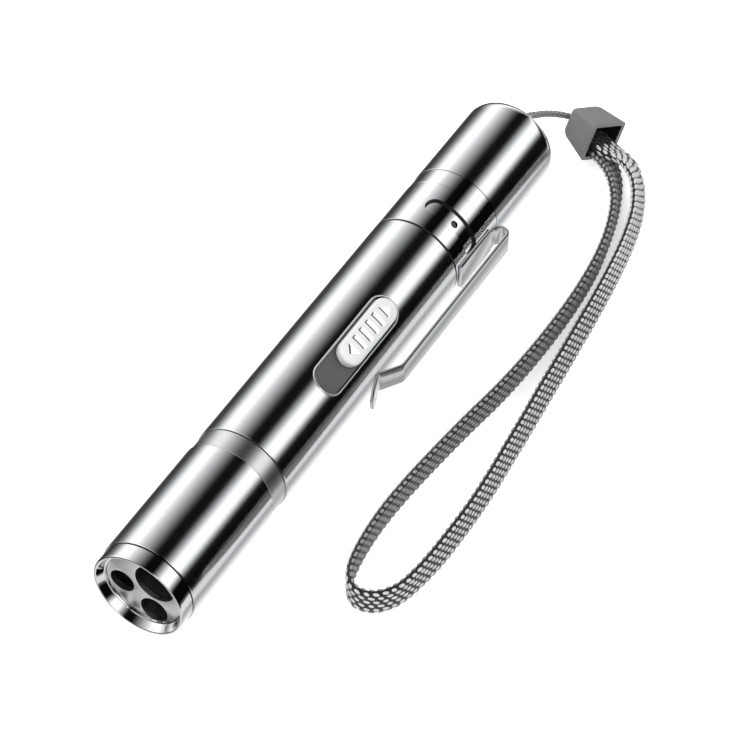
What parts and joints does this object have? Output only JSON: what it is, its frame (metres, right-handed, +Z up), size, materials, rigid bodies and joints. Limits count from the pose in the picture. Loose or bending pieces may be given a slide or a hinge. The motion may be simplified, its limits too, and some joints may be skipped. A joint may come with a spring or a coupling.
{
  "type": "pen torch",
  "caption": "Slim steel pen torch with a slide switch, spring pocket clip, lamps and a laser in its head, a charging plug under its tail cap, and a wrist lanyard.",
  "frame": {"origin": "On the surface the torch lies on, under the middle of the box round the torch and its clip; the lanyard isn't counted", "axes": "+Y along the tube towards the tail cap, -Y towards the lamps; +X towards the pocket clip; +Z up as it lies on its side"},
  "size_m": [0.0383, 0.1208, 0.015],
  "materials": {
    "polished_steel": "polished stainless steel",
    "brushed_steel": "stainless steel tube, turned with fine lines round it",
    "satin_steel": "satin face plate",
    "black_abs": "moulded black plastic",
    "lamp_epoxy": "clear epoxy lamp",
    "uv_epoxy": "faintly violet epoxy lamp",
    "black_anodised": "black anodised laser barrel",
    "lens_glass": "coated lens",
    "gold_plate": "gold plated",
    "circuit_board": "green solder mask",
    "cell_wrap": "lithium cell can in a blue shrink wrap",
    "nickel": "nickel-plated sheet",
    "red_wire": "silicone insulated wire",
    "black_wire": "silicone insulated wire",
    "white_wire": "silicone insulated wire",
    "chip_epoxy": "moulded chip package",
    "chip_ceramic": "ceramic chip parts",
    "switch_case": "tinned switch case",
    "switch_nylon": "black nylon slider",
    "tray_plastic": "dark grey moulded tray",
    "button_plastic": "silver-white moulded button",
    "indicator_chip": "indicator chip",
    "indicator_window": "smoked light pipe",
    "tongue_plastic": "white moulded plastic",
    "thin_cord": "thin braided cord",
    "cap_rubber": "grey moulded rubbery plastic",
    "strap_braid": "black and white flat braid"
  },
  "bodies": {
    "torch": {"bezel_ring": "polished_steel", "joint_ring": "polished_steel", "neck_sleeve": "polished_steel", "clip_band": "polished_steel", "head_sleeve": "brushed_steel", "body_tube": "brushed_steel", "face_plate": "satin_steel", "optic_holder": "black_abs", "chassis": "black_abs", "white_led": "lamp_epoxy", "uv_led": "uv_epoxy", "laser_barrel": "black_anodised", "laser_lens": "lens_glass", "laser_diode": "gold_plate", "usb_contacts": "gold_plate", "led_board": "circuit_board", "main_board": "circuit_board", "battery_cell": "cell_wrap", "battery_tabs": "nickel", "usb_shell": "nickel", "battery_lead_pos": "red_wire", "battery_lead_neg": "black_wire", "lamp_leads": "white_wire", "charge_chip": "chip_epoxy", "board_passives": "chip_ceramic", "slide_switch": "switch_case", "switch_tray": "tray_plastic", "indicator_led": "indicator_chip", "indicator_lens": "indicator_window", "usb_tongue": "tongue_plastic"},
    "switch": {"switch_button": "button_plastic", "switch_carrier": "switch_nylon", "switch_lever": "switch_nylon"},
    "clip": {"clip_arm": "polished_steel"},
    "tail": {"tail_cap": "brushed_steel", "tail_liner": "black_abs", "lanyard_pin": "satin_steel", "lanyard_cord": "thin_cord", "lanyard_cap": "cap_rubber", "lanyard_strap": "strap_braid"}
  },
  "joints": [
    {"name": "switch_slide", "type": "slide", "parent": "torch", "child": "switch", "axis": [0, -1, 0], "range_m": [0, 0.0058]},
    {"name": "clip_flex", "type": "hinge", "parent": "torch", "child": "clip", "pos_m": [0.0076, 0.03205, 0.0075], "axis": [0, 0, 1], "range_deg": [0, 7], "stiffness_Nm_per_rad": 0.75},
    {"name": "tail_pull", "type": "slide", "parent": "torch", "child": "tail", "axis": [0, 1, 0], "range_m": [0, 0.02]}
  ]
}
